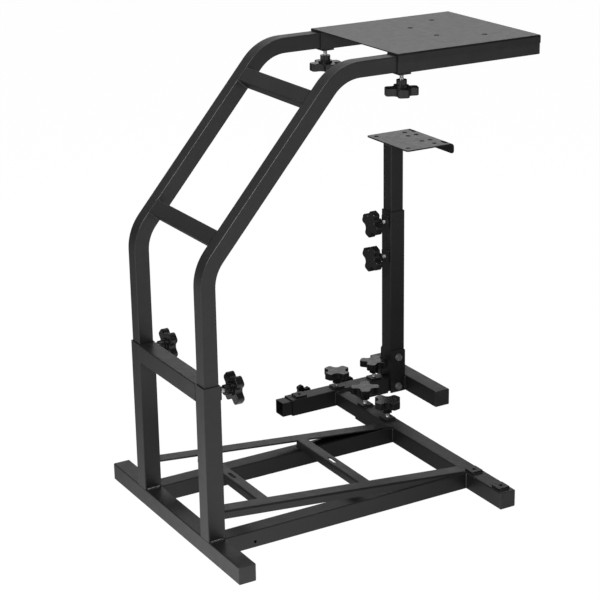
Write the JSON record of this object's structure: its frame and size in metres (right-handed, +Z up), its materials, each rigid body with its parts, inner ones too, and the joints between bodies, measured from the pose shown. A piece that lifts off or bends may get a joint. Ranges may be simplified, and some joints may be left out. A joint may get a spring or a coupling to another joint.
{
  "type": "racing wheel stand",
  "caption": "Free-standing tube stand with a bolt-on wheel plate on bent tubes, a sloping pedal deck and a side post with a shifter plate, set by star knobs.",
  "frame": {"origin": "on the floor, under the middle of the front foot bar", "axes": "+Z up, +Y away from the driver, +X to the driver's right, where the shifter post stands"},
  "size_m": [0.767, 0.8516, 0.9],
  "materials": {
    "powder_coat": "fine-texture satin black powder coat on steel",
    "knob_plastic": "moulded black plastic, satin",
    "cap_plastic": "moulded black plastic, matt",
    "zinc_steel": "bright zinc plate",
    "bolt_steel": "black-oxide steel"
  },
  "bodies": {
    "base": {"front_foot_bar": "powder_coat", "rear_foot_bar": "powder_coat", "foot_bar_caps": "cap_plastic", "left_base_rail": "powder_coat", "right_base_rail": "powder_coat", "left_upright": "powder_coat", "right_upright": "powder_coat", "upright_cross_bar": "powder_coat", "left_deck_rail": "powder_coat", "right_deck_rail": "powder_coat", "front_deck_slat": "powder_coat", "rear_deck_slat": "powder_coat", "left_upright_knob": "knob_plastic", "right_upright_knob": "knob_plastic", "rear_bar_outer_knob": "knob_plastic", "rear_bar_inner_knob": "knob_plastic", "base_knob_studs": "zinc_steel"},
    "wheel_frame": {"left_bent_tube": "powder_coat", "right_bent_tube": "powder_coat", "lower_frame_bar": "powder_coat", "upper_frame_bar": "powder_coat"},
    "wheel_deck": {"wheel_plate": "powder_coat", "left_plate_sleeve": "powder_coat", "right_plate_sleeve": "powder_coat", "left_plate_knob": "knob_plastic", "right_plate_knob": "knob_plastic", "plate_knob_studs": "zinc_steel"},
    "shifter_arm": {"shifter_arm_tube": "powder_coat", "slide_sleeve": "powder_coat", "sleeve_middle_knob": "knob_plastic", "sleeve_rear_knob": "knob_plastic", "sleeve_side_knob": "knob_plastic", "sleeve_side_rear_knob": "knob_plastic", "sleeve_knob_studs": "zinc_steel"},
    "shifter_slide": {"slide_tube": "powder_coat", "shifter_foot_bar": "powder_coat", "shifter_foot_caps": "cap_plastic", "post_brackets": "powder_coat", "bracket_bolts": "bolt_steel", "post_sleeve": "powder_coat", "post_high_knob": "knob_plastic", "post_low_knob": "knob_plastic", "post_knob_studs": "zinc_steel"},
    "shifter_post": {"post_tube": "powder_coat", "shifter_plate": "powder_coat"}
  },
  "joints": [
    {"name": "wheel_height", "type": "slide", "parent": "base", "child": "wheel_frame", "axis": [0, 0, 1], "range_m": [-0.13, 0.06]},
    {"name": "wheel_reach", "type": "slide", "parent": "wheel_frame", "child": "wheel_deck", "axis": [0, -1, 0], "range_m": [-0.06, 0.1]},
    {"name": "arm_reach", "type": "slide", "parent": "base", "child": "shifter_arm", "axis": [1, 0, 0], "range_m": [-0.05, 0.06]},
    {"name": "shifter_reach", "type": "slide", "parent": "shifter_arm", "child": "shifter_slide", "axis": [0, -1, 0], "range_m": [0, 0.1]},
    {"name": "shifter_height", "type": "slide", "parent": "shifter_slide", "child": "shifter_post", "axis": [0, 0, 1], "range_m": [-0.12, 0.06]}
  ]
}
